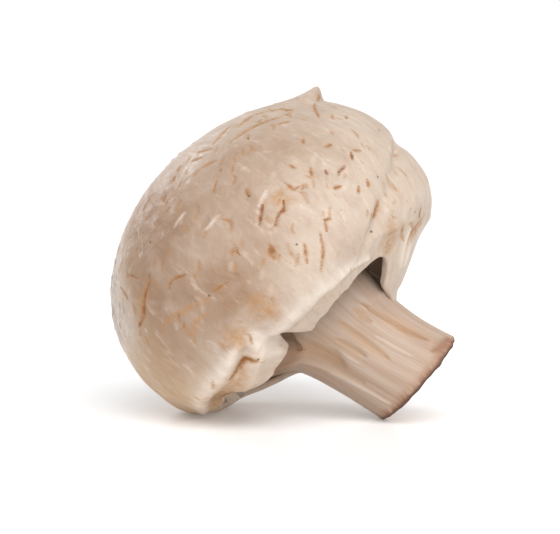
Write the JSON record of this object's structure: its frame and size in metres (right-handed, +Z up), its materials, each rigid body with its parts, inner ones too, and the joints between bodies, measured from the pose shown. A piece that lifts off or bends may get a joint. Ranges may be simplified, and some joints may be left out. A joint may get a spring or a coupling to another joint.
{
  "type": "button mushroom",
  "caption": "Whole button mushroom lying on its side: a domed cap with a partly torn veil and gills behind it, and a short cut stem.",
  "frame": {"origin": "middle of the bounding box's bottom, on the surface that the mushroom lies on", "axes": "+Z up; +X the way the cut stem points, seen from above; -Y towards the torn side of the veil"},
  "size_m": [0.0504, 0.0494, 0.0476],
  "materials": {
    "cap_skin": "matte, slightly waxy cream skin with tan flakes and brown bruises",
    "stem_skin": "matte, fibrous pinkish beige, browned at the cut end",
    "gill_flesh": "matte, soft brown"
  },
  "bodies": {
    "root": {"cap": "cap_skin", "stem": "stem_skin", "gills": "gill_flesh"}
  },
  "joints": []
}
